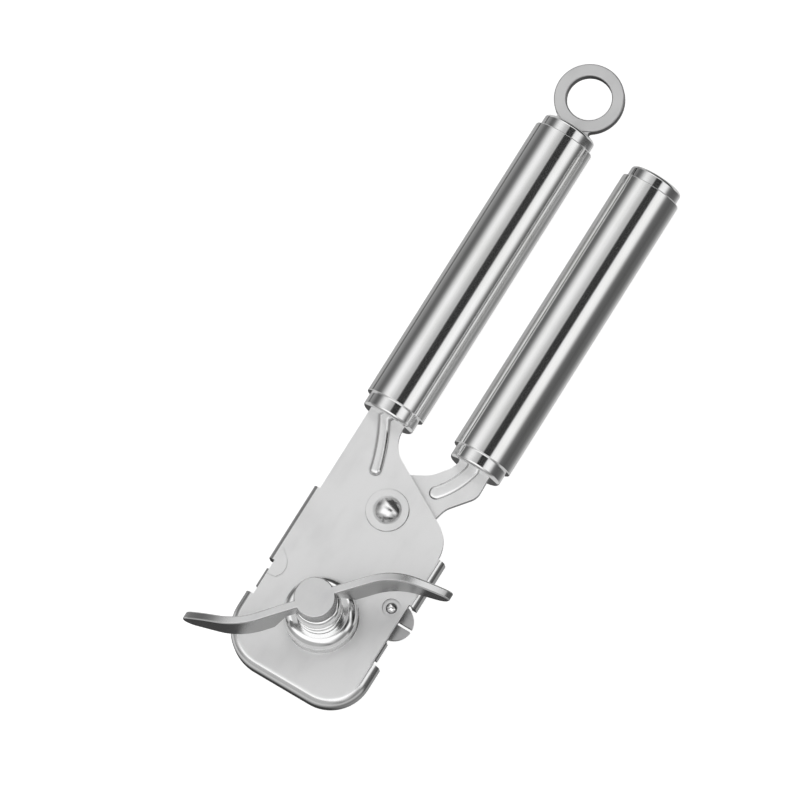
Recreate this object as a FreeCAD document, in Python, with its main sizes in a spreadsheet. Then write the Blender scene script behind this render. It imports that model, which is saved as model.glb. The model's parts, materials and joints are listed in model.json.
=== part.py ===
import FreeCAD, Part
import math
import os
import Sketcher

# Hand-held can opener. Millimetres.
# Origin: centre of the hole in the hanging ring. +Y runs from the head towards the ring,
# +X towards the plain handle, +Z out of the face that carries the turning key.

SHEET = {
    "plate_gauge": 1.5,          # pressed steel of the front plate and its flanges
    "lever_gauge": 1.8,          # steel of the lever plate
    "plate_play": 0.15,          # air between the front plate and the lever plate
    "tube_radius": 9.3,
    "tube_wall": 1.3,
    "tube_top": -14.15,
    "tube_foot": -107.0,
    "tube_lip": 0.25,            # rounding of the tube's ends
    "cap_radius": 8.2,
    "cap_rise": 3.8,             # part of each end cap that stands out of the tube
    "ferrule_rise": 4.3,         # the same at the head end
    "cap_plug": 8.0,             # part of each end cap inside the tube
    "cap_round": 1.0,
    "core_length": 22.0,
    "slide_fit": 0.05,           # radial air between pieces that slide into each other
    "lever_handle_x": 29.3,
    "tang_left": -5.8,
    "tang_right": 5.6,
    "lever_tang_width": 9.8,
    "tang_top": -84.0,
    "ring_radius": 10.3,
    "ring_hole": 6.6,
    "ring_gauge": 3.6,
    "ring_stem": 3.0,
    "ring_flank": 0.8,           # radius of the hollow flanks of the ring's neck
    "raw_left": -5.8,            # cut edges of the front plate
    "raw_right": 34.6,
    "head_left": -7.8,           # outer faces of the flanges
    "head_right": 36.6,
    "foot_left": -8.35,
    "head_foot": -193.6,
    "flange_low": -5.0,
    "bend_radius": 2.0,
    "foot_bend": 2.7,
    "tab_left": -6.7,            # outer faces of the two rim tabs, and their lower edge
    "tab_right": 34.8,
    "tab_low": -3.6,
    "field_lift": 0.25,          # height of the pressed fields
    "neck_round": 9.0,           # roundings of the plate's outline at the neck and shoulder
    "shoulder_round": 10.0,
    "corner_left": 14.0,         # rounded corners of the foot
    "corner_right": 12.4,
    "foot_flange_top": -174.8,
    "pivot_x": 14.4,
    "pivot_y": -134.2,
    "pivot_radius": 3.0,
    "boss_radius": 6.4,          # raised seat of the pivot
    "boss_lift": 0.3,
    "dome_radius": 4.2,
    "dome_rise": 2.4,
    "spindle_x": 14.9,
    "spindle_y": -170.7,
    "spindle_radius": 3.0,
    "bush_barrel": 4.3,
    "bush_ring": 10.9,
    "bush_top": 8.5,
    "thrust_gauge": 0.3,
    "feed_radius": 12.0,
    "feed_high": -4.9,
    "feed_low": -7.9,
    "feed_teeth": 32,
    "cutter_radius": 7.5,
    "cutter_high": -5.7,
    "cutter_gauge": 1.2,
    "cutter_gap": 0.8,           # air between cutting wheel and feed wheel at rest
    "key_top": 25.0,
    "key_foot": 19.0,
    "key_hub": 6.05,
    "key_gauge": 2.4,
    "key_socket": 4.5,           # depth of the spindle's seat in the hub
    "key_droop": 38.0,           # radius of the arms' upper edge, seen from the side
    "key_tip": 3.9,              # radius of the arms' ends, seen from the side
    "jaw_x": 32.7,
    "jaw_y": -160.45,
    "jaw_radius": 5.6,
    "jaw_high": -2.85,
    "jaw_gauge": 1.8,
    "jaw_slot": 0.9,
    "recess_radius": 2.7,        # sunk seat of the jaw's rivet
    "recess_depth": 0.7,
    "jaw_rivet_x": 30.6,
    "jaw_rivet_y": -158.1,
}

V = FreeCAD.Vector
doc = FreeCAD.newDocument("can_opener")
sheet = doc.addObject("Spreadsheet::Sheet", "dims")
for row, (alias, number) in enumerate(SHEET.items(), start=1):
    sheet.set(f"A{row}", alias)
    sheet.set(f"B{row}", str(number))
    sheet.setAlias(f"B{row}", alias)
doc.recompute()


class Size:
    """A length: its value and the sheet expression that gives it."""

    def __init__(self, value, text):
        self.value = float(value)
        self.text = text

    def join(self, sign, other, value):
        return Size(value, f"({self.text} {sign} {other.text})")

    def __add__(self, other):
        other = size(other)
        return self.join("+", other, self.value + other.value)

    def __sub__(self, other):
        other = size(other)
        return self.join("-", other, self.value - other.value)

    def __radd__(self, other):
        return size(other) + self

    def __rsub__(self, other):
        return size(other) - self

    def __neg__(self):
        return size(0) - self


def size(number):
    return number if isinstance(number, Size) else Size(number, repr(float(number)))


def cell(alias):
    return Size(sheet.get(alias), f"dims.{alias}")


def half(length):
    return Size(length.value / 2, f"({length.text} / 2)")


# ---------------------------------------------------------------- working tools

def add_body(name, x=0, y=0, z=0):
    body = doc.addObject("PartDesign::Body", name)
    body.Label = name
    for axis, place in zip("xyz", (x, y, z)):
        body.setExpression(f".Placement.Base.{axis}", size(place).text)
    return body


def add_sketch(body, plane, height=0):
    """A sketch on one of the body's origin planes, moved along the plane's normal."""
    sketch = body.newObject("Sketcher::SketchObject", f"{body.Name}_sketch")
    support = [part for part in body.Origin.OriginFeatures if part.Role == plane][0]
    sketch.AttachmentSupport = (support, [""])
    sketch.MapMode = "FlatFace"
    sketch.setExpression(".AttachmentOffset.Base.z", size(height).text)
    return sketch


def pin_number(sketch, kind, edge, end, number):
    """Fixes one coordinate of a point and binds it to its expression."""
    number = size(number)
    place = sketch.addConstraint(Sketcher.Constraint(kind, edge, end, number.value))
    sketch.setExpression(f"Constraints[{place}]", number.text)


def pin_point(sketch, edge, end, point):
    for kind, number in zip(("DistanceX", "DistanceY"), point):
        pin_number(sketch, kind, edge, end, number)


def add_circle(sketch, x, y, radius):
    x, y, radius = size(x), size(y), size(radius)
    edge = sketch.addGeometry(Part.Circle(V(x.value, y.value, 0), V(0, 0, 1), radius.value))
    pin_point(sketch, edge, 3, (x, y))
    place = sketch.addConstraint(Sketcher.Constraint("Radius", edge, radius.value))
    sketch.setExpression(f"Constraints[{place}]", radius.text)
    return sketch


def add_outline(sketch, path):
    """A closed outline of lines and arcs. A corner is (x, y). An arc between two corners
    is (centre x, centre y, way), where way is 1 for counter-clockwise and -1 for clockwise."""
    corners = []
    bends = {}
    for step in path:
        if len(step) == 2:
            corners.append(step)
        else:
            bends[len(corners) - 1] = step
    edges = []
    for number, begin in enumerate(corners):
        close = corners[(number + 1) % len(corners)]
        edges.append(add_edge(sketch, begin, close, bends.get(number)))
    for number, (edge, start, end) in enumerate(edges):
        following, after, _ = edges[(number + 1) % len(edges)]
        sketch.addConstraint(Sketcher.Constraint("Coincident", edge, end, following, after))
        pin_point(sketch, edge, start, corners[number])
    for number, bend in bends.items():
        pin_centre(sketch, edges[number][0], bend, corners[number],
                   corners[(number + 1) % len(corners)])
    return sketch


def pin_centre(sketch, edge, bend, begin, close):
    """One coordinate of an arc's centre, the one that its two ends leave free."""
    wide = abs(size(close[0]).value - size(begin[0]).value)
    tall = abs(size(close[1]).value - size(begin[1]).value)
    if tall >= wide:
        pin_number(sketch, "DistanceX", edge, 3, bend[0])
    else:
        pin_number(sketch, "DistanceY", edge, 3, bend[1])


def add_edge(sketch, begin, close, bend):
    """A line or an arc, with the names of its first and last point. The sketcher keeps arcs
    counter-clockwise, so a clockwise one is drawn from its far end."""
    a = V(size(begin[0]).value, size(begin[1]).value, 0)
    b = V(size(close[0]).value, size(close[1]).value, 0)
    if bend is None:
        return sketch.addGeometry(Part.LineSegment(a, b)), 1, 2
    centre = V(size(bend[0]).value, size(bend[1]).value, 0)
    first, last = (a, b) if bend[2] > 0 else (b, a)
    angles = [math.atan2(end.y - centre.y, end.x - centre.x) for end in (first, last)]
    if angles[1] <= angles[0]:
        angles[1] += 2 * math.pi
    circle = Part.Circle(centre, V(0, 0, 1), (a - centre).Length)
    edge = sketch.addGeometry(Part.ArcOfCircle(circle, *angles))
    return (edge, 1, 2) if bend[2] > 0 else (edge, 2, 1)


def add_box(sketch, left, right, low, high):
    return add_outline(sketch, [(left, low), (right, low), (right, high), (left, high)])


def add_feature(body, kind, sketch, name):
    feature = body.newObject(f"PartDesign::{kind}", f"{body.Name}_{name}")
    feature.Profile = sketch
    return feature


def pad(body, sketch, length, both_ways=False):
    feature = add_feature(body, "Pad", sketch, "pad")
    feature.setExpression("Length", size(length).text)
    if both_ways:
        feature.SideType = "Symmetric"
    return finished(feature)


def finished(feature):
    doc.recompute()
    profile = feature.Profile[0] if "Profile" in feature.PropertiesList else feature
    if "Invalid" in feature.State or "Invalid" in profile.State or feature.Shape.isNull():
        raise RuntimeError(f"{feature.Name} fails")
    return feature


def cut(body, sketch, length=None, both_ways=False, up=False):
    """A pocket: through everything, or a stated depth. up cuts along the plane's normal."""
    before = body.Shape.Volume
    feature = add_feature(body, "Pocket", sketch, "pocket")
    if length is None:
        feature.Type = "ThroughAll"
    else:
        feature.setExpression("Length", size(length).text)
    if both_ways:
        feature.SideType = "Symmetric"
    feature.Reversed = up
    doc.recompute()
    if body.Shape.Volume >= before - 1e-6:
        raise RuntimeError(f"{feature.Name} cuts nothing")
    return finished(feature)


def revolve(body, sketch):
    feature = add_feature(body, "Revolution", sketch, "turning")
    feature.ReferenceAxis = (sketch, ["V_Axis"])
    feature.Angle = 360
    return finished(feature)


def round_edges(body, base, radius, wanted, kind="Fillet"):
    """Rounds or bevels the edges whose middle passes the test."""
    names = [f"Edge{number}" for number, edge in enumerate(base.Shape.Edges, start=1)
             if wanted(edge, edge.valueAt((edge.FirstParameter + edge.LastParameter) / 2))]
    if not names:
        raise RuntimeError(f"no edge of {base.Name} to round")
    feature = body.newObject(f"PartDesign::{kind}", f"{body.Name}_{kind.lower()}")
    feature.Base = (base, names)
    feature.setExpression("Radius" if kind == "Fillet" else "Size", size(radius).text)
    return finished(feature)


def upright_at(*places):
    """Picks upright edges that stand at one of the places."""
    def wanted(edge, middle):
        if abs(edge.BoundBox.XLength) + abs(edge.BoundBox.YLength) > 1e-4:
            return False
        return any(math.hypot(middle.x - x, middle.y - y) < 0.05 for x, y in places)
    return wanted


def at_height(z):
    """Picks edges that lie in one level plane."""
    return lambda edge, middle: edge.BoundBox.ZLength < 1e-4 and abs(middle.z - z) < 1e-3


def turned_piece(name, path, plane, x=0, y=0, z=0):
    """A piece turned about the upright axis of a sketch: path points are (radius, height)."""
    body = add_body(name, x, y, z)
    revolve(body, add_outline(add_sketch(body, plane), path))
    return body


def washer_path(bore, radius, low, high):
    return [(bore, low), (radius, low), (radius, high), (bore, high)]


# ---------------------------------------------------------------- shared places

GAUGE = cell("plate_gauge")
FACE = half(GAUGE)                                  # front of the front plate
BACK = -FACE                                        # back of the front plate
LEVER_HIGH = BACK - cell("plate_play")
LEVER_LOW = LEVER_HIGH - cell("lever_gauge")
LEVER_Z = LEVER_HIGH - half(cell("lever_gauge"))    # middle of the lever plate
FIT = cell("slide_fit")
TUBE_BORE = cell("tube_radius") - cell("tube_wall")
PLUG = TUBE_BORE - FIT
FERRULE_FOOT = cell("tube_foot") - cell("ferrule_rise")
RIB_END = FERRULE_FOOT.value - 0.1                  # the ribs stop just short of the ferrules
PLUG_TOP = cell("tube_foot") + cell("cap_plug")
SPINDLE = (cell("spindle_x"), cell("spindle_y"))
PIVOT = (cell("pivot_x"), cell("pivot_y"))
JAW_LOW = cell("jaw_high") - cell("jaw_gauge")
RIVET = (cell("jaw_rivet_x"), cell("jaw_rivet_y"))

# The cutting wheel meets the feed wheel on this line from the spindle.
NIP_ANGLE = math.radians(112.3)
CUTTER_REACH = SHEET["feed_radius"] + SHEET["cutter_radius"] + SHEET["cutter_gap"]
CUTTER_X = cell("spindle_x") + CUTTER_REACH * math.cos(NIP_ANGLE)
CUTTER_Y = cell("spindle_y") + CUTTER_REACH * math.sin(NIP_ANGLE)
CUTTER_SHANK = 2.0

# Rivets that hold the moving jaw to the lever plate.
FOOT_RIVETS = ((22.3, -161.3), (20.6, -155.6))
FOOT_SHANK = 1.3

# Roundings of the lever plate's outline: radius and the numbers of its corners.
LEVER_ROUNDINGS = ((8.0, (2,)), (9.0, (3,)), (3.3, (10, 11)), (4.0, (7, 8)), (5.0, (4, 5, 15)),
                   (7.0, (14,)))


# ---------------------------------------------------------------- front plate

def bent_edge(body, outer, inner_side, low, y_foot, y_top, radius):
    """One flange bent back along Y. inner_side is +1 where the plate lies at larger X."""
    gauge = SHEET["plate_gauge"]
    length = y_top - y_foot
    middle = (y_top + y_foot) / 2
    start = outer + inner_side * radius
    inside = outer + inner_side * gauge
    path = [
        (start + inner_side * 1.5, FACE),
        (start, FACE),
        (start, FACE - radius, inner_side),
        (outer, FACE - radius),
        (outer, low),
        (inside, low),
        (inside, BACK),
        (start + inner_side * 1.5, BACK),
    ]
    sketch = add_outline(add_sketch(body, "XZ_Plane", -middle), path)
    return pad(body, sketch, length, both_ways=True)


def foot_tray(body):
    """The rounded foot of the head: one flange that runs round both corners."""
    left, right = cell("foot_left"), cell("head_right")
    foot, top = cell("head_foot"), cell("foot_flange_top")
    low = cell("flange_low")
    block = pad(body, add_box(add_sketch(body, "XY_Plane", low), left, right, foot, top), FACE - low)
    corner_left, corner_right = cell("corner_left"), cell("corner_right")
    block = round_edges(body, block, corner_left, upright_at((left.value, foot.value)))
    block = round_edges(body, block, corner_right, upright_at((right.value, foot.value)))
    at_face = at_height(FACE.value)
    block = round_edges(body, block, cell("foot_bend"),
                        lambda edge, middle: at_face(edge, middle) and middle.y < top.value - 0.01)
    past = top + 5
    inner = [
        (right - GAUGE, past),
        (left + GAUGE, past),
        (left + GAUGE, foot + corner_left),
        (left + corner_left, foot + corner_left, 1),
        (left + corner_left, foot + GAUGE),
        (right - corner_right, foot + GAUGE),
        (right - corner_right, foot + corner_right, 1),
        (right - GAUGE, foot + corner_right),
    ]
    cut(body, add_outline(add_sketch(body, "XY_Plane", low), inner), BACK - low, up=True)


def flat_sheet(body):
    """The flat of the front plate with the tang that runs up into the ring handle."""
    left, right = cell("raw_left"), cell("raw_right")
    tray = cell("foot_flange_top")
    inset, lap = 0.5, 1.2
    shoulder_left = (cell("tang_right"), -117.0)
    shoulder_right = (right, -133.1)
    outline = [
        (cell("tang_right"), cell("tang_top")),
        (left, cell("tang_top")),
        (left, tray),
        (left + inset, tray),
        (left + inset, tray - lap),
        (right - inset, tray - lap),
        (right - inset, tray),
        (right, tray),
        shoulder_right,
        shoulder_left,
    ]
    sheet_pad = pad(body, add_outline(add_sketch(body, "XY_Plane", BACK), outline), GAUGE)
    neck = upright_at((shoulder_left[0].value, shoulder_left[1]))
    sheet_pad = round_edges(body, sheet_pad, cell("neck_round"), neck)
    shoulder = upright_at((right.value, shoulder_right[1]))
    return round_edges(body, sheet_pad, cell("shoulder_round"), shoulder)


def arc_rib(body, height, lift, centre, radius, width, tip_angle, end_y):
    """A raised rib along an arc. Its tip is rounded and its other end is cut level at end_y."""

    def at(distance, angle):
        return (centre[0] + distance * math.cos(angle), centre[1] + distance * math.sin(angle))

    inner, outer = radius - width / 2, radius + width / 2
    tip = math.radians(tip_angle)
    path = [
        at(outer, tip),
        (*centre, 1),
        at(outer, math.asin((end_y - centre[1]) / outer)),
        at(inner, math.asin((end_y - centre[1]) / inner)),
        (*centre, -1),
        at(inner, tip),
        (*at(radius, tip), 1),
    ]
    rib = pad(body, add_outline(add_sketch(body, "XY_Plane", height), path), lift)
    crown = 0.45
    return round_edges(body, rib, crown, at_height(size(height).value + lift))


def pressed_field(body, outline):
    """A shallow raised field pressed in the sheet."""
    pad(body, add_outline(add_sketch(body, "XY_Plane", FACE), outline), cell("field_lift"))


def front_plate():
    body = add_body("front_plate")
    foot_tray(body)
    left, right = SHEET["head_left"], SHEET["head_right"]
    low, bend = SHEET["flange_low"], SHEET["bend_radius"]
    bent_edge(body, left, 1, low, -163.3, -138.5, bend)
    bent_edge(body, right, -1, low, -154.8, -139.0, bend)
    flat_sheet(body)
    tab_low, tab_bend = SHEET["tab_low"], 1.6
    bent_edge(body, SHEET["tab_left"], 1, tab_low, -172.2, -166.3, tab_bend)
    bent_edge(body, SHEET["tab_right"], -1, tab_low, -173.3, -167.4, tab_bend)
    lift = cell("boss_lift")
    boss = pad(body, add_circle(add_sketch(body, "XY_Plane", FACE), *PIVOT, cell("boss_radius")), lift)
    boss_bevel = 0.2
    round_edges(body, boss, boss_bevel, at_height((FACE + lift).value), "Chamfer")
    pressed_field(body, [(-5.6, -167.7), (-3.0, -167.4), (-1.8, -165.6), (-1.7, -163.4),
                         (-2.6, -161.4), (-5.6, -158.9)])
    pressed_field(body, [(34.4, -175.4), (33.4, -172.5), (33.0, -170.5), (31.8, -168.8),
                         (30.0, -167.0), (30.2, -164.0), (31.5, -162.3), (34.4, -161.4)])
    arc_rib(body, FACE, 0.8, (-52.9, -141.2), 60.0, 3.5, 15.0, RIB_END)
    cut(body, add_circle(add_sketch(body, "XY_Plane"), *SPINDLE, cell("bush_barrel") + FIT), both_ways=True)
    cut(body, add_circle(add_sketch(body, "XY_Plane"), *PIVOT, cell("pivot_radius") + FIT), both_ways=True)
    recess = add_circle(add_sketch(body, "XY_Plane", FACE), *RIVET, cell("recess_radius"))
    cut(body, recess, cell("recess_depth"))
    cut(body, add_circle(add_sketch(body, "XY_Plane"), *RIVET, 1.3), both_ways=True)


# ---------------------------------------------------------------- handles

def handle_tube(name, x, z):
    wall = washer_path(TUBE_BORE, cell("tube_radius"), cell("tube_foot"), cell("tube_top"))
    body = turned_piece(name, wall, "XY_Plane", x=x, z=z)
    width = 2 * SHEET["tube_radius"] - 0.01

    def outer_rim(edge, middle):
        return edge.BoundBox.XLength > width and edge.BoundBox.YLength < 1e-4

    round_edges(body, body.Tip, cell("tube_lip"), outer_rim)


def handle_cap(name, x, z, bore=None):
    """The cap at the hanging end, with its plug inside the tube."""
    radius, edge = cell("cap_radius"), cell("cap_round")
    seat = cell("tube_top")
    top = seat + cell("cap_rise")
    inner = size(0) if bore is None else bore
    path = [
        (inner, seat - cell("cap_plug")),
        (PLUG, seat - cell("cap_plug")),
        (PLUG, seat),
        (radius, seat),
        (radius, top - edge),
        (radius - edge, top - edge, 1),
        (radius - edge, top),
        (inner, top),
    ]
    turned_piece(name, path, "XY_Plane", x=x, z=z)


def handle_ferrule(name, x, z, left, right, gauge):
    """The cap at the head end, slotted for the tang."""
    radius, edge = cell("cap_radius"), cell("cap_round")
    seat = cell("tube_foot")
    foot = FERRULE_FOOT
    path = [
        (0, foot),
        (radius - edge, foot),
        (radius - edge, foot + edge, 1),
        (radius, foot + edge),
        (radius, seat),
        (PLUG, seat),
        (PLUG, PLUG_TOP),
        (0, PLUG_TOP),
    ]
    body = turned_piece(name, path, "XY_Plane", x=x, z=z)
    tang_slot(body, left, right, gauge)


def tang_slot(body, left, right, gauge):
    slot_half = half(gauge) + FIT
    slot = add_box(add_sketch(body, "XZ_Plane"), left - FIT, right + FIT, -slot_half, slot_half)
    cut(body, slot, both_ways=True)


def handle_core(name, x, z, left, right, gauge):
    """The moulded plug that wedges the tang in the tube."""
    low = PLUG_TOP + 0.2
    body = turned_piece(name, washer_path(0, PLUG, low, low + cell("core_length")), "XY_Plane", x=x, z=z)
    tang_slot(body, left, right, gauge)


def hanging_ring():
    """A rounded flat ring on a short neck with hollow flanks, and a stem that goes into the
    cap."""
    body = add_body("hanging_ring")
    revolve(body, add_outline(add_sketch(body, "XZ_Plane"), ring_section()))
    seat = cell("tube_top") + cell("cap_rise")
    flank = SHEET["ring_flank"]
    reach = SHEET["ring_radius"] + flank
    lift = seat.value + flank + 0.3
    side = math.sqrt(reach ** 2 - lift ** 2)
    touch = SHEET["ring_radius"] / reach
    sunk = (SHEET["ring_radius"] - 1.2) / reach
    neck = [
        (-side * touch, lift * touch),
        (-side, lift, -1),
        (-side, lift - flank),
        (-side, seat),
        (side, seat),
        (side, lift - flank),
        (side, lift, -1),
        (side * touch, lift * touch),
        (side * sunk, lift * sunk),
        (0, 0, -1),
        (-side * sunk, lift * sunk),
    ]
    neck_gauge = cell("ring_gauge") - 0.5
    pad(body, add_outline(add_sketch(body, "XY_Plane"), neck), neck_gauge, both_ways=True)
    stem = add_circle(add_sketch(body, "XZ_Plane", -seat), 0, 0, cell("ring_stem"))
    pad(body, stem, 8)


def ring_section():
    """Cross-section of the ring: a flat bar with rounded edges."""
    hole, outer = cell("ring_hole"), cell("ring_radius")
    high = half(cell("ring_gauge"))
    edge = 0.5
    return [
        (hole + edge, -high),
        (outer - edge, -high),
        (outer - edge, -high + edge, 1),
        (outer, -high + edge),
        (outer, high - edge),
        (outer - edge, high - edge, 1),
        (outer - edge, high),
        (hole + edge, high),
        (hole + edge, high - edge, 1),
        (hole, high - edge),
        (hole, -high + edge),
        (hole + edge, -high + edge, 1),
    ]


def ring_handle():
    left, right = cell("tang_left"), cell("tang_right")
    handle_tube("ring_handle_tube", 0, 0)
    handle_cap("ring_handle_cap", 0, 0, bore=cell("ring_stem") + FIT)
    handle_ferrule("ring_handle_ferrule", 0, 0, left, right, GAUGE)
    handle_core("ring_handle_core", 0, 0, left, right, GAUGE)
    hanging_ring()


def lever_handle():
    x = cell("lever_handle_x")
    wide = half(cell("lever_tang_width"))
    gauge = cell("lever_gauge")
    handle_tube("lever_handle_tube", x, LEVER_Z)
    handle_cap("lever_handle_cap", x, LEVER_Z)
    handle_ferrule("lever_handle_ferrule", x, LEVER_Z, -wide, wide, gauge)
    handle_core("lever_handle_core", x, LEVER_Z, -wide, wide, gauge)


# ---------------------------------------------------------------- lever plate

def lever_plate():
    body = add_body("lever_plate")
    wide = half(cell("lever_tang_width"))
    left, right = cell("lever_handle_x") - wide, cell("lever_handle_x") + wide
    outline = [
        (right, cell("tang_top")),
        (left, cell("tang_top")),
        (left, -112.6),
        (19.5, -118.8),
        (9.0, -124.5),
        (4.2, -131.0),
        (4.2, -138.0),
        (2.2, -150.5),
        (2.2, -155.5),
        (9.5, -157.6),
        (18.9, -164.2),
        (25.7, -164.2),
        (25.7, -150.0),
        (26.8, -131.0),
        (28.2, -125.2),
        (right + 0.2, -117.6),
        (right, -112.0),
    ]
    sheet_pad = pad(body, add_outline(add_sketch(body, "XY_Plane", LEVER_LOW), outline), cell("lever_gauge"))
    for radius, corners in LEVER_ROUNDINGS:
        spots = [[size(number).value for number in outline[corner]] for corner in corners]
        sheet_pad = round_edges(body, sheet_pad, radius, upright_at(*spots))
    arc_rib(body, LEVER_HIGH, 0.7, (6.3, -107.0), 23.0, 4.0, -42.0, RIB_END)
    cut(body, add_circle(add_sketch(body, "XY_Plane"), *PIVOT, cell("pivot_radius") + FIT), both_ways=True)
    cut(body, add_circle(add_sketch(body, "XY_Plane"), CUTTER_X, CUTTER_Y, CUTTER_SHANK + FIT),
        both_ways=True)
    for x, y in FOOT_RIVETS:
        cut(body, add_circle(add_sketch(body, "XY_Plane"), x, y, FOOT_SHANK + FIT), both_ways=True)


# ---------------------------------------------------------------- pivot and bush

def dome_path(radius, rise, seat, shank, foot, tail_radius, tail_foot):
    """A rivet: domed head on its seat, shank, and the flat head formed at its tail."""
    crown = (radius ** 2 + rise ** 2) / (2 * rise)
    return [
        (0, tail_foot),
        (tail_radius, tail_foot),
        (tail_radius, foot),
        (shank, foot),
        (shank, seat),
        (radius, seat),
        (0, seat + rise - crown, 1),
        (0, seat + rise),
    ]


def pivot():
    """The rivet that both plates swing on, and the washer behind the lever plate."""
    seat = FACE + cell("boss_lift")
    high = LEVER_LOW - 0.05
    washer_radius, washer_gauge = 5.2, 0.5
    tail_radius, tail_gauge = 4.4, 1.3
    tail = high - washer_gauge
    washer = washer_path(cell("pivot_radius") + FIT, size(washer_radius), tail, high)
    turned_piece("pivot_washer", washer, "XZ_Plane", *PIVOT)
    dome = (SHEET["dome_radius"], SHEET["dome_rise"])
    path = dome_path(*dome, seat, cell("pivot_radius"), tail, tail_radius, tail - tail_gauge)
    turned_piece("pivot_rivet", path, "XZ_Plane", *PIVOT)


def spindle_bush():
    """The bearing in the front plate: a barrel, a base ring and a full round bulge."""
    bore = cell("spindle_radius") + 0.06
    ring, top = cell("bush_ring"), cell("bush_top")
    bulge, ledge, waist = 2.7, 1.6, 3.3              # radius of the bulge, and two heights
    bulge_x, bulge_z = ring - bulge, top - bulge
    ledge_x = bulge_x + math.sqrt(bulge ** 2 - (bulge_z.value - waist) ** 2)
    barrel_foot = cell("feed_high") + 0.15
    path = [
        (bore, barrel_foot),
        (cell("bush_barrel"), barrel_foot),
        (cell("bush_barrel"), FACE),
        (ring, FACE),
        (ring, ledge),
        (ledge_x, ledge),
        (ledge_x, waist),
        (bulge_x, bulge_z, 1),
        (bulge_x, top),
        (bore, top),
    ]
    turned_piece("spindle_bush", path, "XZ_Plane", *SPINDLE)


# ---------------------------------------------------------------- lid jaws

def fixed_jaw():
    """The upper half disc, with a boss that stands it off the front plate."""
    body = add_body("fixed_jaw")
    boss, hole = 2.2, 1.3
    radius, gap = cell("jaw_radius"), SHEET["jaw_slot"] / 2
    reach = math.sqrt(radius.value ** 2 - gap ** 2)
    x, y = cell("jaw_x"), cell("jaw_y")
    path = [(x - reach, y + gap), (x + reach, y + gap), (x, y, 1)]
    pad(body, add_outline(add_sketch(body, "XY_Plane", JAW_LOW), path), cell("jaw_gauge"))
    high = cell("jaw_high")
    pad(body, add_circle(add_sketch(body, "XY_Plane", high), *RIVET, boss), BACK - high)
    cut(body, add_circle(add_sketch(body, "XY_Plane"), *RIVET, hole), both_ways=True)


def fixed_jaw_rivet():
    seat = FACE - cell("recess_depth")
    path = dome_path(1.75, 1.0, seat, 1.25, JAW_LOW, 1.9, JAW_LOW - 0.7)
    turned_piece("fixed_jaw_rivet", path, "XZ_Plane", *RIVET)


def moving_jaw():
    """The lower half disc, with a foot that is riveted behind the lever plate."""
    body = add_body("moving_jaw")
    radius, gap = cell("jaw_radius"), SHEET["jaw_slot"] / 2
    x, y = cell("jaw_x"), cell("jaw_y")
    reach = math.sqrt(radius.value ** 2 - gap ** 2)
    near, far = (V(*place, 0) for place in FOOT_RIVETS)
    along = (far - near).normalize()
    pad_radius = 3.2
    side = V(along.y, -along.x, 0) * pad_radius
    sole = near.y - pad_radius
    drop = math.sqrt(radius.value ** 2 - (sole - y.value) ** 2)
    path = [
        (x + reach, y - gap),
        (25.6, y - gap),
        tuple(far + side)[:2],
        (far.x, far.y, 1),
        tuple(far - side)[:2],
        tuple(near - side)[:2],
        (near.x, near.y, 1),
        (near.x, sole),
        (x - drop, sole),
        (x, y, 1),
    ]
    jaw = pad(body, add_outline(add_sketch(body, "XY_Plane", JAW_LOW), path), cell("jaw_gauge"))
    for place in FOOT_RIVETS:
        jaw = cut(body, add_circle(add_sketch(body, "XY_Plane"), *place, FOOT_SHANK + FIT), both_ways=True)
    low, countersink = at_height(JAW_LOW.value), 0.6
    round_edges(body, jaw, countersink, lambda edge, middle: low(edge, middle) and edge.Closed, "Chamfer")


def moving_jaw_rivets():
    """The two flush rivets of the moving jaw, as one node."""
    body = doc.addObject("Part::Feature", "moving_jaw_rivets")
    body.Label = "moving_jaw_rivets"
    low, high = JAW_LOW.value + 0.02, LEVER_HIGH.value - 0.03
    head_radius, head_depth = 1.85, 0.55
    solids = []
    for x, y in FOOT_RIVETS:
        head = Part.makeCone(head_radius, FOOT_SHANK, head_depth, V(x, y, low))
        shank = Part.makeCylinder(FOOT_SHANK, high - low, V(x, y, low))
        solids.append(head.fuse(shank).removeSplitter())
    body.Shape = Part.makeCompound(solids)
    body.Placement = FreeCAD.Placement()


# ---------------------------------------------------------------- cutting wheel

def cutter():
    """The cutting wheel turns on a shouldered spacer that a screw holds to the lever."""
    place = (CUTTER_X, CUTTER_Y)
    high = cell("cutter_high")
    low = high - cell("cutter_gauge")
    shoulder, screw = 3.0, CUTTER_SHANK
    spacer_foot = low - 0.15
    spacer = [
        (screw + 0.03, spacer_foot),
        (shoulder, spacer_foot),
        (shoulder, high + 0.15),
        (4.5, high + 0.15),
        (4.5, LEVER_LOW),
        (screw + 0.03, LEVER_LOW),
    ]
    turned_piece("cutter_spacer", spacer, "XZ_Plane", *place)
    head_foot = spacer_foot - 1.7
    bolt = [
        (0, head_foot),
        (3.9, head_foot),
        (4.3, head_foot + 0.4),
        (4.3, spacer_foot),
        (screw, spacer_foot),
        (screw, LEVER_HIGH - 0.05),
        (0, LEVER_HIGH - 0.05),
    ]
    body = turned_piece("cutter_screw", bolt, "XZ_Plane", *place)
    slot = add_box(add_sketch(body, "XY_Plane", head_foot), -5, 5, -0.5, 0.5)
    cut(body, slot, 0.8, up=True)
    radius = cell("cutter_radius")
    middle = high - half(cell("cutter_gauge"))
    wheel = [
        (shoulder + 0.05, low),
        (radius - 1.7, low),
        (radius, middle - 0.08),
        (radius, middle + 0.08),
        (radius - 1.7, high),
        (shoulder + 0.05, high),
    ]
    turned_piece("cutting_wheel", wheel, "XZ_Plane", *place)


# ---------------------------------------------------------------- key and feed wheel

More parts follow.
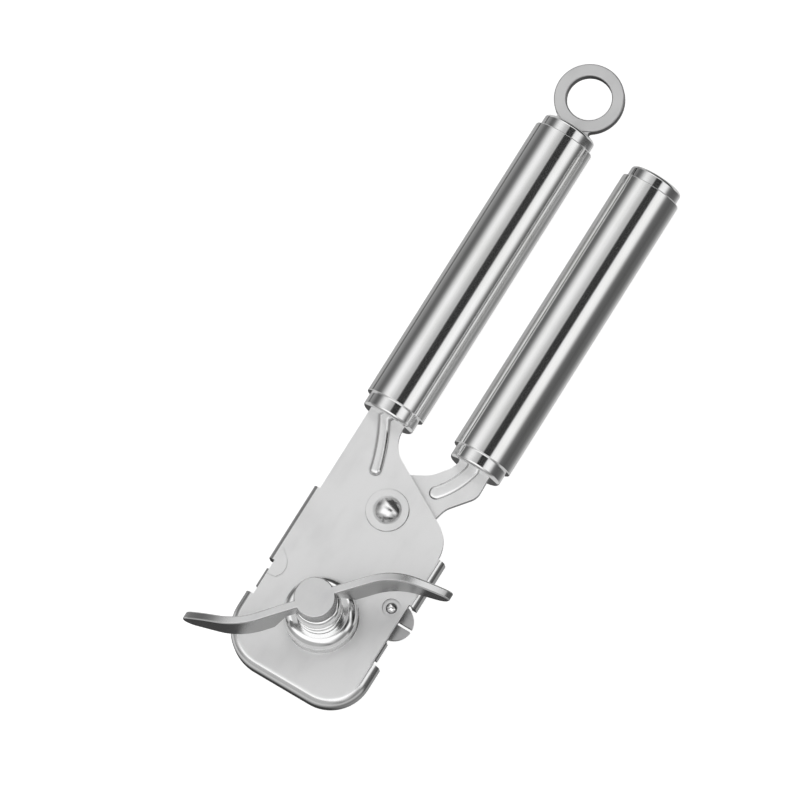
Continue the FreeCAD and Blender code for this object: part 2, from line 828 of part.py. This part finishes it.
def arm_outline(turn):
    """Plan of one strip arm: straight out of the hub, one bend, then straight to the tip.
    turn is 0 or 180 degrees about the hub."""
    thick = SHEET["key_gauge"] / 2
    heading, bend = math.radians(48.0), math.radians(33.0)
    start, root_run, bend_radius, tip_run = V(2.2, 3.0, 0), 13.1, 22.0, 12.0
    ahead = V(math.cos(heading), math.sin(heading), 0)
    side = V(-ahead.y, ahead.x, 0)
    root = start + ahead * root_run
    centre = root - side * bend_radius
    out = V(math.cos(heading - bend), math.sin(heading - bend), 0)
    out_side = V(-out.y, out.x, 0)
    knee = centre + out_side * bend_radius
    tip = knee + out * tip_run
    steps = [
        start - side * thick,
        root - side * thick,
        (centre, -1),
        knee - out_side * thick,
        tip - out_side * thick,
        tip + out_side * thick,
        knee + out_side * thick,
        (centre, 1),
        root + side * thick,
        start + side * thick,
    ]
    rotation = FreeCAD.Rotation(V(0, 0, 1), turn)
    outline = []
    for step in steps:
        way = step[1:] if isinstance(step, tuple) else ()
        place = rotation.multVec(step[0] if way else step)
        outline.append((place.x, place.y) + way)
    return outline


def arm_side():
    """Side view of one arm: (X, Z) corners. Its upper edge droops from the hub's top to a
    round tip, and its lower edge drops steeply from the hub's foot and then runs out flat."""
    top, foot = SHEET["key_top"], SHEET["key_foot"]
    droop, tip = SHEET["key_droop"], SHEET["key_tip"]
    level, tip_x, foot_x = 6.4, 27.6, 5.2
    high = V(level, top - droop, 0)
    reach = tip_x - level
    low = V(tip_x, high.y + math.sqrt((droop - tip) ** 2 - reach ** 2), 0)
    away = (low - high).normalize()
    meet = low + away * tip
    heel = V(8.0, 11.2, 0)
    gap = (low - heel).Length
    slope = math.atan2(low.y - heel.y, low.x - heel.x) - math.asin(tip / gap)
    leave = heel + V(math.cos(slope), math.sin(slope), 0) * math.sqrt(gap ** 2 - tip ** 2)
    return [
        (level, top),
        (high.x, high.y, -1),
        (meet.x, meet.y),
        (low.x, low.y, -1),
        (leave.x, leave.y),
        (heel.x, heel.y),
        (foot_x, foot),
    ]


def mirrored(side):
    """The same outline on the other side of the axis, in the opposite order."""
    corners = [step for step in side if len(step) == 2]
    bends = [None] * len(corners)
    for place, step in enumerate(side):
        if len(step) == 3:
            bends[sum(len(before) == 2 for before in side[:place]) - 1] = step
    outline = []
    for place in reversed(range(len(corners))):
        x, z = corners[place]
        outline.append((-x, z))
        bend = bends[place - 1] if place else None
        if bend:
            outline.append((-bend[0], bend[1], bend[2]))
    return outline


def turning_key():
    """The hub with its two strip arms. The arms start as tall strips, and one cut shapes both
    of them from the side."""
    body = add_body("turning_key", *SPINDLE)
    top, foot = cell("key_top"), cell("key_foot")
    pad(body, add_circle(add_sketch(body, "XY_Plane", foot), 0, 0, cell("key_hub")), top - foot)
    strip_foot, bevel = size(8.0), 0.3
    for turn in (0, 180):
        arm = add_outline(add_sketch(body, "XY_Plane", strip_foot), arm_outline(turn))
        pad(body, arm, top - strip_foot)
    reach, under, over = 40, 4, 30                   # a frame that clears the whole key
    around = add_box(add_sketch(body, "XZ_Plane"), -reach, reach, under, over)
    add_outline(around, arm_side() + mirrored(arm_side()))
    cut(body, around, 2 * reach, both_ways=True)
    round_edges(body, body.Tip, bevel, at_height(top.value), "Chamfer")
    bore = add_circle(add_sketch(body, "XY_Plane", foot), 0, 0, cell("spindle_radius") + 0.02)
    cut(body, bore, cell("key_socket"), up=True)


def key_collar():
    """The sleeve between the bush and the key's hub, in two softly rounded bands, and the
    thrust washer under it."""
    bore = cell("spindle_radius") + 0.02
    washer_low = cell("bush_top") + 0.05
    low = washer_low + cell("thrust_gauge")
    band, groove, bulge = 7.0, 12.9, 12.0
    neck = 5.4
    lower_mid = (low.value + groove) / 2
    shoulder, shoulder_z = 1.1, 17.3
    upper_mid = (groove + shoulder_z) / 2

    def sunk(z, middle):
        return band - bulge + math.sqrt(bulge ** 2 - (z - middle) ** 2)

    path = [
        (bore, low),
        (sunk(low.value, lower_mid), low),
        (band - bulge, lower_mid, 1),
        (sunk(groove, lower_mid), groove),
        (sunk(groove, upper_mid), groove + 0.01),
        (band - bulge, upper_mid, 1),
        (sunk(shoulder_z, upper_mid), shoulder_z),
        (sunk(shoulder_z, upper_mid) - shoulder, shoulder_z, 1),
        (sunk(shoulder_z, upper_mid) - shoulder, shoulder_z + shoulder),
        (neck, shoulder_z + shoulder),
        (neck, cell("key_foot")),
        (bore, cell("key_foot")),
    ]
    turned_piece("key_collar", path, "XZ_Plane", *SPINDLE)
    washer_radius = size(5.8)
    turned_piece("thrust_washer", washer_path(bore, washer_radius, washer_low, low), "XZ_Plane", *SPINDLE)


def spindle():
    """The shaft from the key down through the bush, bored for the end screw."""
    low, high = cell("feed_low"), cell("key_foot") + cell("key_socket") - 0.05
    hole, depth = 1.52, 6
    path = [
        (hole, low),
        (cell("spindle_radius"), low),
        (cell("spindle_radius"), high),
        (0, high),
        (0, low + depth),
        (hole, low + depth),
    ]
    turned_piece("spindle", path, "XZ_Plane", *SPINDLE)


def feed_wheel():
    """The toothed wheel that drives the rim."""
    body = add_body("feed_wheel", *SPINDLE)
    low, gauge = cell("feed_low"), cell("feed_high") - cell("feed_low")
    tip, depth = SHEET["feed_radius"], 0.8
    root = tip - depth
    disc = add_sketch(body, "XY_Plane", low)
    add_circle(disc, 0, 0, root)
    add_circle(disc, 0, 0, cell("spindle_radius") + 0.02)
    pad(body, disc, gauge)
    wide = math.pi * root / SHEET["feed_teeth"] * 0.98
    sink = root - 0.3
    tooth = [(sink, -wide), (root, -wide), (tip, -0.15), (tip, 0.15), (root, wide), (sink, wide)]
    ridge = pad(body, add_outline(add_sketch(body, "XY_Plane", low), tooth), gauge)
    pattern = body.newObject("PartDesign::PolarPattern", "feed_teeth")
    pattern.Originals = [ridge]
    pattern.Axis = (ridge.Profile[0], ["N_Axis"])
    pattern.Angle = 360
    pattern.Occurrences = SHEET["feed_teeth"]
    body.Tip = pattern
    doc.recompute()


def feed_wheel_screw():
    """The slotted screw in the end of the spindle."""
    low = cell("feed_low")
    path = [
        (0, low - 1.5),
        (4.2, low - 1.5),
        (4.7, low - 1.0),
        (4.7, low),
        (1.5, low),
        (1.5, low + 5.5),
        (0, low + 5.5),
    ]
    body = turned_piece("feed_wheel_screw", path, "XZ_Plane", *SPINDLE)
    slot = add_box(add_sketch(body, "XY_Plane", low - 1.5), -6, 6, -0.55, 0.55)
    cut(body, slot, 0.7, up=True)


# ---------------------------------------------------------------- build and write

front_plate()
ring_handle()
lever_handle()
lever_plate()
pivot()
spindle_bush()
fixed_jaw()
fixed_jaw_rivet()
moving_jaw()
moving_jaw_rivets()
cutter()
turning_key()
key_collar()
spindle()
feed_wheel()
feed_wheel_screw()
doc.recompute()

broken = [item.Name for item in doc.Objects if "Invalid" in item.State or "Error" in item.State]
if broken:
    raise RuntimeError(f"failed features: {broken}")

os.makedirs("parts", exist_ok=True)
for item in doc.Objects:
    if item.TypeId not in ("PartDesign::Body", "Part::Feature"):
        continue
    if item.Shape.isNull() or not item.Shape.isValid():
        raise RuntimeError(f"{item.Label} has no valid shape")
    item.Shape.exportStep(f"parts/{item.Label}.step")
    print(item.Label, len(item.Shape.Solids), round(item.Shape.Volume, 1), item.Shape.BoundBox)
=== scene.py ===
import json
import math

import bmesh
import bpy
from mathutils import Matrix, Vector


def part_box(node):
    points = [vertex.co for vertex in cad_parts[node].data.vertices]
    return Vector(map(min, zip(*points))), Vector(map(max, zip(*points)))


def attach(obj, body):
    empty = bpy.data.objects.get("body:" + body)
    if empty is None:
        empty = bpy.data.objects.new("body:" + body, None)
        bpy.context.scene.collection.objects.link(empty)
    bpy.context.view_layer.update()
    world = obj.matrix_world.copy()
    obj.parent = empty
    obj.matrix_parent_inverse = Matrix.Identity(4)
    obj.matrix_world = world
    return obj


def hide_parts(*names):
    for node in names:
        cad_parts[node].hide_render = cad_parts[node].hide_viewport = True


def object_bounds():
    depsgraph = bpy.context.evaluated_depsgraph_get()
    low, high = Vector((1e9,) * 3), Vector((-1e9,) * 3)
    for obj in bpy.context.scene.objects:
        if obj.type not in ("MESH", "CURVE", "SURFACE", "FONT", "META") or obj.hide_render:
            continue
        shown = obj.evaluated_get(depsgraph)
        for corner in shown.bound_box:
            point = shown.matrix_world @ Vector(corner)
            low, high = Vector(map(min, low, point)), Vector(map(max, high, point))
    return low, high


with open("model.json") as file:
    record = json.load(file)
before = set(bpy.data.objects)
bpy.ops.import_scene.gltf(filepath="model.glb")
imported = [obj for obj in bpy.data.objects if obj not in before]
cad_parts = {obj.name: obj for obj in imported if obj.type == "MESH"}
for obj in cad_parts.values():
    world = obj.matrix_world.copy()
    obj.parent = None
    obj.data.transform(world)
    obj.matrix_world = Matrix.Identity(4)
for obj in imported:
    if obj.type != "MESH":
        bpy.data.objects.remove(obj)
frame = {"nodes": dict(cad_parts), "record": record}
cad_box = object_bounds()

MM = 0.001
NODE_SLOT = {part["node"]: part["material_slot"] for part in frame["record"]["subparts"]}
NODE_BODY = {node: body for body, nodes in frame["record"]["behaviour"]["bodies"].items()
             for node in nodes}


# ------------------------------------------------------------------ shader tools

class Wire:
    """One output socket of a node. Arithmetic on it adds Math nodes."""

    def __init__(self, finish, socket):
        self.finish = finish
        self.socket = socket

    def maths(self, operation, *values):
        return self.finish.add("ShaderNodeMath", {"operation": operation}, dict(enumerate(values)))

    def __add__(self, other):
        return self.maths("ADD", self, other)

    def __radd__(self, other):
        return self.maths("ADD", other, self)

    def __sub__(self, other):
        return self.maths("SUBTRACT", self, other)

    def __rsub__(self, other):
        return self.maths("SUBTRACT", other, self)

    def __mul__(self, other):
        return self.maths("MULTIPLY", self, other)

    def __truediv__(self, other):
        return self.maths("DIVIDE", self, other)

    def __pow__(self, other):
        return self.maths("POWER", self, other)

    def __abs__(self):
        return self.maths("ABSOLUTE", self)


class Finish:
    """A node tree of a material or of the studio's surroundings."""

    def __init__(self, owner):
        owner.use_nodes = True
        self.tree = owner.node_tree
        self.tree.nodes.clear()

    def add(self, kind, settings=None, inputs=None, output=0):
        """A node with its settings first, then the values or links of its sockets. Returns one
        output, or the node where output is None."""
        node = self.tree.nodes.new(kind)
        for name, value in (settings or {}).items():
            if name == "stops":
                self.set_stops(node.color_ramp, value)
            else:
                setattr(node, name, value)
        for name, value in (inputs or {}).items():
            if isinstance(value, Wire):
                self.tree.links.new(value.socket, node.inputs[name])
            else:
                node.inputs[name].default_value = value
        return node if output is None else Wire(self, node.outputs[output])

    def set_stops(self, ramp, stops):
        while len(ramp.elements) > 1:
            ramp.elements.remove(ramp.elements[0])
        ramp.elements[0].position = stops[0][0]
        ramp.elements[0].color = grey(stops[0][1])
        for place, shade in stops[1:]:
            ramp.elements.new(place).color = grey(shade)

    def step(self, value, low, high, out_low=0.0, out_high=1.0):
        """Runs smoothly from out_low to out_high while value goes from low to high."""
        return self.add("ShaderNodeMapRange", {"interpolation_type": "SMOOTHSTEP"},
                        {0: value, 1: low, 2: high, 3: out_low, 4: out_high})

    def split(self, vector):
        """The three parts of a vector."""
        parts = self.add("ShaderNodeSeparateXYZ", {}, {0: vector}, None)
        return [Wire(self, socket) for socket in parts.outputs]

    def noise(self, place, scale, detail=2.0, rough=0.5):
        return self.add("ShaderNodeTexNoise", {}, {
            "Vector": place, "Scale": scale, "Detail": detail, "Roughness": rough})

    def stretch(self, place, scales):
        return self.add("ShaderNodeMapping", {}, {"Vector": place, "Scale": scales})

    def mix(self, share, first, second):
        return self.add("ShaderNodeMix", {"data_type": "RGBA"}, {0: share, 6: first, 7: second}, 2)


def grey(shade):
    return (shade, shade, shade, 1.0)


def tint(red, green, blue):
    return (red, green, blue, 1.0)


# ------------------------------------------------------------------ finishes

def metal(name, bright, worn, roughness, bump_height, build, painted_side_shade=None):
    """A bare metal. build returns three values that vary over the surface: how worn it is, its roughness
    and the height of its grain.
    rim is painted shade: a darker colour given to upright faces, standing in for the shade they take from
    the surroundings."""
    material = bpy.data.materials.new(name)
    finish = Finish(material)
    place = finish.add("ShaderNodeTexCoord", output="Object")
    facing = finish.add("ShaderNodeTexCoord", output="Normal")
    wear, rough, grain = build(finish, place, facing)
    colour = finish.mix(wear, bright, worn)
    # painted shade: faces that stand upright are given the darker rim colour instead of their own
    if painted_side_shade:
        level = abs(finish.split(facing)[2])
        colour = finish.mix(finish.step(level, 0.15, 0.70), painted_side_shade, colour)
    bump = finish.add("ShaderNodeBump", {}, {
        "Height": grain, "Distance": bump_height * MM, "Strength": 1.0})
    surface = finish.add("ShaderNodeBsdfPrincipled", {}, {
        "Base Color": colour, "Metallic": 1.0, "Roughness": rough * roughness, "Normal": bump})
    finish.add("ShaderNodeOutputMaterial", {}, {"Surface": surface}, None)
    return material


def brushed(along, fine, long):
    """Grain of fine parallel brush lines. along is the axis they run on, and fine and long are
    how many there are to a metre across it and along it."""
    def build(finish, place, facing):
        scales = [fine] * 3
        scales[along] = long
        lines = finish.noise(finish.stretch(place, scales), 1.0, 3.0, 0.6)
        lanes = [fine / 6] * 3
        lanes[along] = long / 3
        broad = finish.noise(finish.stretch(place, lanes), 1.0, 2.0)
        clouds = finish.noise(place, 60.0, 3.0, 0.55)
        wear = finish.step(clouds + (broad - 0.5) * 0.5, 0.38, 0.72)
        rough = 0.75 + lines * 0.35 + clouds * 0.25
        return wear, rough, lines + broad * 0.5
    return build


def turned_grain(centre):
    """Grain of fine rings about an upright axis through centre, as a lathe leaves."""
    fine = 5200.0
    def build(finish, place, facing):
        moved = finish.add("ShaderNodeVectorMath", {"operation": "SUBTRACT"}, {0: place, 1: centre})
        x, y, z = finish.split(moved)
        radius = (x * x + y * y) ** 0.5
        rings = finish.add("ShaderNodeCombineXYZ", {}, {0: radius * fine, 1: z * fine, 2: x * 120.0})
        lines = finish.noise(rings, 1.0, 2.0, 0.6)
        clouds = finish.noise(place, 90.0, 3.0, 0.55)
        wear = finish.step(clouds, 0.40, 0.75)
        rough = 0.75 + lines * 0.3 + clouds * 0.3
        return wear, rough, lines
    return build


def pressed_sheet(flat, bend):
    """Satin sheet: even fine grain on its flats, more polish where it is bent or rubbed."""
    def build(finish, place, facing):
        level = abs(finish.split(facing)[2])
        flats = finish.step(level, 0.93, 0.999)
        lines = finish.noise(finish.stretch(place, (7000.0, 420.0, 7000.0)), 1.0, 3.0, 0.6)
        sand = finish.noise(place, 9000.0, 2.0)
        clouds = finish.noise(place, 45.0, 4.0, 0.55)
        hand = finish.noise(finish.stretch(place, (260.0, 90.0, 260.0)), 1.0, 3.0)
        wear = finish.step(clouds * 0.6 + hand * 0.4, 0.42, 0.66)
        rough = (bend + flats * (flat - bend)) * (0.86 + clouds * 0.16 + sand * 0.12)
        return wear, rough, lines * 0.6 + sand * 0.4
    return build


def make_finishes():
    spindle_axis, pivot_axis, cutter_axis = (
        tuple(sum(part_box(node), Vector()) / 2) for node in ("spindle", "pivot_rivet", "cutting_wheel"))
    ring_centre = (0.0, 0.0, 0.0)
    return {
        # the rim colours below are painted shade for upright faces (plate 0.20, key 0.30, ring 0.06)
        "plate_steel": metal("satin_plate", grey(0.95), grey(0.90), 1.0, 0.004,
                             pressed_sheet(0.56, 0.19), painted_side_shade=grey(0.20)),
        "key_steel": metal("satin_key", grey(0.79), tint(0.72, 0.72, 0.73), 1.0, 0.004,
                           pressed_sheet(0.50, 0.22), painted_side_shade=grey(0.30)),
        "tube_steel": metal("drawn_tube", grey(0.93), tint(0.88, 0.88, 0.87), 0.11, 0.0012,
                            brushed(1, 5200.0, 22.0)),
        "cap_steel": metal("turned_cap", grey(0.90), grey(0.84), 0.11, 0.0008, brushed(1, 60.0, 5600.0)),
        "polished_steel": metal("polished_steel", grey(0.93), grey(0.88), 0.13, 0.0008,
                                turned_grain(spindle_axis)),
        "pivot": metal("polished_rivet", grey(0.93), grey(0.88), 0.19, 0.0008, turned_grain(pivot_axis)),
        "ring": metal("satin_ring", grey(0.71), grey(0.66), 0.42, 0.002, turned_grain(ring_centre),
                      painted_side_shade=grey(0.06)),
        "tool_steel": metal("hardened_steel", grey(0.62), tint(0.50, 0.50, 0.51), 0.30, 0.003,
                            brushed(0, 4200.0, 160.0)),
        "cutter": metal("ground_cutter", grey(0.80), tint(0.68, 0.68, 0.69), 0.24, 0.002,
                        turned_grain(cutter_axis)),
        "shaft_steel": metal("shaft_steel", grey(0.74), grey(0.62), 0.26, 0.002,
                             turned_grain(spindle_axis)),
        "core_plastic": moulded_plastic(),
    }


def moulded_plastic():
    material = bpy.data.materials.new("moulded_plastic")
    finish = Finish(material)
    place = finish.add("ShaderNodeTexCoord", output="Object")
    grain = finish.noise(place, 2600.0, 2.0)
    clouds = finish.noise(place, 120.0, 2.0)
    bump = finish.add("ShaderNodeBump", {}, {"Height": grain, "Distance": 0.01 * MM, "Strength": 1.0})
    colour = finish.mix(clouds, tint(0.035, 0.035, 0.037), tint(0.055, 0.055, 0.056))
    surface = finish.add("ShaderNodeBsdfPrincipled", {}, {
        "Base Color": colour, "Roughness": 0.5 + grain * 0.15, "Normal": bump})
    finish.add("ShaderNodeOutputMaterial", {}, {"Surface": surface}, None)
    return material


# ------------------------------------------------------------------ pieces

def place_piece(name, bm, node, material, stands_for=True):
    """Turns a bmesh into a smooth piece that stands for a node of the part, or is added to it."""
    mesh = bpy.data.meshes.new(name)
    bm.to_mesh(mesh)
    bm.free()
    mesh.polygons.foreach_set("use_smooth", [True] * len(mesh.polygons))
    piece = bpy.data.objects.new(name, mesh)
    bpy.context.scene.collection.objects.link(piece)
    mesh.materials.append(material)
    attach(piece, NODE_BODY[node])
    if stands_for:
        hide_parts(node)
    return piece


def softened(node, name, radius, material, lower=None):
    """A copy of a node with its sharp edges rounded. lower is (face, lowest, highest, share):
    what stands between those heights over the face is pressed down to a share of its height."""
    sharp = math.radians(28.0)
    bm = bmesh.new()
    bm.from_mesh(frame["nodes"][node].data)
    bmesh.ops.remove_doubles(bm, verts=bm.verts, dist=0.0005 * MM)
    if lower:
        face, lowest, highest, share = lower
        for vert in bm.verts:
            lift = vert.co.z / MM - face
            if lowest < lift < highest:
                vert.co.z = (face + lift * share) * MM
    bmesh.ops.dissolve_limit(bm, angle_limit=math.radians(0.4), verts=bm.verts, edges=bm.edges,
                             delimit={"NORMAL"})
    for edge in bm.edges:
        edge.smooth = not (len(edge.link_faces) == 2 and edge.calc_face_angle(0) > sharp)
    piece = place_piece(name, bm, node, material)
    bevel = piece.modifiers.new("soft_edges", "BEVEL")
    bevel.width = radius * MM
    bevel.segments = 3
    bevel.limit_method = "ANGLE"
    bevel.angle_limit = sharp
    bevel.harden_normals = True
    bevel.use_clamp_overlap = True
    return piece


def pressed_rib(name, node, centre, radius, width, lift, base, tip_angle, end_y, material):
    """A half-round rib along an arc: its section is spun round the arc's centre, and half of the
    section round the tip."""
    sink = 0.04
    section_steps, arc_steps, tip_steps = 16, 48, 24
    bm = bmesh.new()
    tip = math.radians(tip_angle)
    end = math.asin((end_y - centre[1]) / radius)
    outward = Vector((math.cos(tip), math.sin(tip), 0.0))
    middle = Vector((*centre, base)) + outward * radius
    section = []
    for number in range(section_steps + 1):
        turn = math.pi * number / section_steps
        rise = Vector((0, 0, math.sin(turn) * lift - sink))
        section.append(bm.verts.new((middle + outward * (math.cos(turn) * width / 2) + rise) * MM))
    edges = [bm.edges.new(pair) for pair in zip(section, section[1:])]
    outer_half = section[:section_steps // 2 + 1] + edges[:section_steps // 2]
    nose = bmesh.ops.duplicate(bm, geom=outer_half)["geom"]
    bmesh.ops.spin(bm, geom=section + edges, cent=Vector((*centre, 0.0)) * MM, axis=(0, 0, 1),
                   angle=end - tip, steps=arc_steps)
    bmesh.ops.spin(bm, geom=nose, cent=middle * MM, axis=(0, 0, 1), angle=-math.pi, steps=tip_steps)
    bmesh.ops.remove_doubles(bm, verts=bm.verts, dist=0.002 * MM)
    bmesh.ops.holes_fill(bm, edges=[edge for edge in bm.edges if edge.is_boundary], sides=0)
    bmesh.ops.recalc_face_normals(bm, faces=bm.faces)
    for edge in bm.edges:
        edge.smooth = edge.calc_face_angle(0) < math.radians(40)
    return place_piece(name, bm, node, material, stands_for=False)


def make_pieces(finishes):
    """The two sheets and the key with soft edges, and the rib that runs from each sheet's tube."""
    plate, key = finishes["plate_steel"], finishes["key_steel"]
    head_face, lever_face = 0.75, -0.9      # heights of the two sheets' upper faces
    ribs_end = -110.0                       # where the tubes' ferrules hide them
    softened("front_plate", "head_plate", 0.12, plate, lower=(head_face, 0.32, 1.0, 0.3))
    softened("lever_plate", "lever_sheet", 0.15, plate, lower=(lever_face, 0.1, 1.0, 0.3))
    pressed_rib("head_rib", "front_plate", (-52.9, -141.2), 60.0, 3.8, 1.2, head_face, 15.0, ribs_end,
                plate)
    pressed_rib("lever_rib", "lever_plate", (6.3, -107.0), 23.0, 4.1, 0.75, lever_face, -42.0, ribs_end,
                plate)
    softened("turning_key", "wing_key", 0.22, key)


# ------------------------------------------------------------------ camera and light

def look(way, up):
    """Rotation whose -Z axis looks along -way, with up as the picture's upward direction."""
    back = Vector(way).normalized()
    right = Vector(up).cross(back).normalized()
    return Matrix((right, back.cross(right), back)).transposed()


TO_CAMERA = Vector((0.2, -0.172, 0.9645)).normalized()
TURN = math.radians(32.3)           # how far the tool leans to the right in the picture
MIDDLE = Vector((0.1, -104.4, 0.0)) * MM
FRAME_WIDTH = 230.5 * MM
DISTANCE = 4.0


def add_camera():
    along = Vector((0, 1, 0))
    along = (along - along.dot(TO_CAMERA) * TO_CAMERA).normalized()
    across = along.cross(TO_CAMERA)
    up = along * math.cos(TURN) - across * math.sin(TURN)
    data = bpy.data.cameras.new("camera")
    data.lens = data.sensor_width * DISTANCE / FRAME_WIDTH
    data.clip_end = 10
    camera = bpy.data.objects.new("camera", data)
    camera.matrix_world = Matrix.Translation(MIDDLE + TO_CAMERA * DISTANCE) @ look(TO_CAMERA, up).to_4x4()
    bpy.context.scene.collection.objects.link(camera)
    bpy.context.scene.camera = camera


# The studio around the tool, by roll angle about its length: degrees from straight up, with
# +X positive, and brightness. Two soft boxes leave a dark slot overhead.
SURROUND = [
    (-180, 0.50), (-135, 0.40), (-118, 0.40), (-116, 0.05), (-111, 0.05), (-109, 0.34), (-93, 0.24),
    (-80, 0.13), (-70, 0.13), (-62, 0.22), (-54, 0.48), (-46, 0.76), (-38, 0.92), (-30, 0.90),
    (-22, 0.78), (-14, 0.62), (-5, 0.49), (2.5, 0.47), (4, 0.024), (31, 0.026), (34, 0.80),
    (42, 0.97), (56, 0.99), (64, 0.80), (70, 0.44), (77, 0.17), (85, 0.12), (100, 0.10), (125, 0.14),
    (140, 0.26), (150, 0.36), (167, 0.70), (180, 0.50),
]

# Where a dark card hangs under the tool: an upright face at the head end shows it to the camera.
CARD = (-0.2, -0.172, -0.9645)


def add_surroundings():
    """Soft boxes on each side of the tool's length, paler walls past them, and the ends darker.
    The camera itself sees plain white behind the tool."""
    world = bpy.data.worlds.new("studio")
    bpy.context.scene.world = world
    finish = Finish(world)
    way = finish.add("ShaderNodeTexCoord", output="Generated")
    x, y, z = finish.split(way)
    roll = x.maths("ARCTAN2", x, z) / (2 * math.pi) + 0.5
    stops = [(angle / 360 + 0.5, shade) for angle, shade in SURROUND]
    left = [stop for stop in stops if stop[0] <= 0.5]
    right = [stop for stop in stops if stop[0] > 0.5]
    left_ramp = left + [(0.5, left[-1][1]), (0.5005, 0.0)]
    right_ramp = [(0.5, 0.0), (0.5005, right[0][1])] + right
    boxes = (finish.add("ShaderNodeValToRGB", {"stops": left_ramp}, {0: roll})
             + finish.add("ShaderNodeValToRGB", {"stops": right_ramp}, {0: roll}))
    along = finish.step(y, -0.02, 0.08) * finish.step(y, 0.27, 0.37, 1.0, 0.0)
    above = finish.step(z, -0.2, 0.1)
    rest = above * finish.step(abs(x), 0.35, 0.95, 1.15, 0.25) + (1 - above) * 0.62
    ring_end = 1 - finish.step(y + x * 0.25, 0.50, 0.66, 0.0, 0.95) * above
    head_end = 1 - finish.step(y, -0.70, -0.50, 0.62, 0.0) * above
    toward_card = x * CARD[0] + y * CARD[1] + z * CARD[2]
    card = finish.step(toward_card, 0.90, 0.96, 1.0, 0.15)
    light = (boxes * along + rest * (1 - along)) * ring_end * head_end * card
    lit = finish.add("ShaderNodeBackground", {}, {"Color": grey(1.0), "Strength": light})
    plain = finish.add("ShaderNodeBackground", {}, {"Color": grey(1.0), "Strength": 1.0})
    seen = finish.add("ShaderNodeLightPath", output="Is Camera Ray")
    shown = finish.add("ShaderNodeMixShader", {}, {0: seen, 1: lit, 2: plain})
    finish.add("ShaderNodeOutputWorld", {}, {"Surface": shown}, None)


def add_floor():
    bm = bmesh.new()
    bmesh.ops.create_grid(bm, x_segments=1, y_segments=1, size=3.0)
    bmesh.ops.translate(bm, vec=(0.0, 0.0, cad_box[0][2]), verts=bm.verts)
    mesh = bpy.data.meshes.new("floor")
    bm.to_mesh(mesh)
    bm.free()
    floor = bpy.data.objects.new("floor", mesh)
    bpy.context.scene.collection.objects.link(floor)
    material = bpy.data.materials.new("pale_paper")
    finish = Finish(material)
    surface = finish.add("ShaderNodeBsdfPrincipled", {}, {
        "Base Color": grey(0.6), "Roughness": 0.9, "Emission Color": grey(1.0), "Emission Strength": 0.8})
    clear = finish.add("ShaderNodeBsdfTransparent")
    below = finish.add("ShaderNodeNewGeometry", output="Backfacing")
    shown = finish.add("ShaderNodeMixShader", {}, {0: below, 1: surface, 2: clear})
    finish.add("ShaderNodeOutputMaterial", {}, {"Surface": shown}, None)
    mesh.materials.append(material)
    floor.visible_glossy = False


# ------------------------------------------------------------------ the scene

OWN_FINISH = {"hanging_ring": "ring", "pivot_rivet": "pivot", "cutting_wheel": "cutter"}

finishes = make_finishes()
for name, node in frame["nodes"].items():
    for holder in node.material_slots:
        holder.material = finishes[OWN_FINISH.get(name, NODE_SLOT[name])]
make_pieces(finishes)
add_camera()
add_surroundings()
add_floor()
bpy.context.scene.view_settings.view_transform = "Standard"
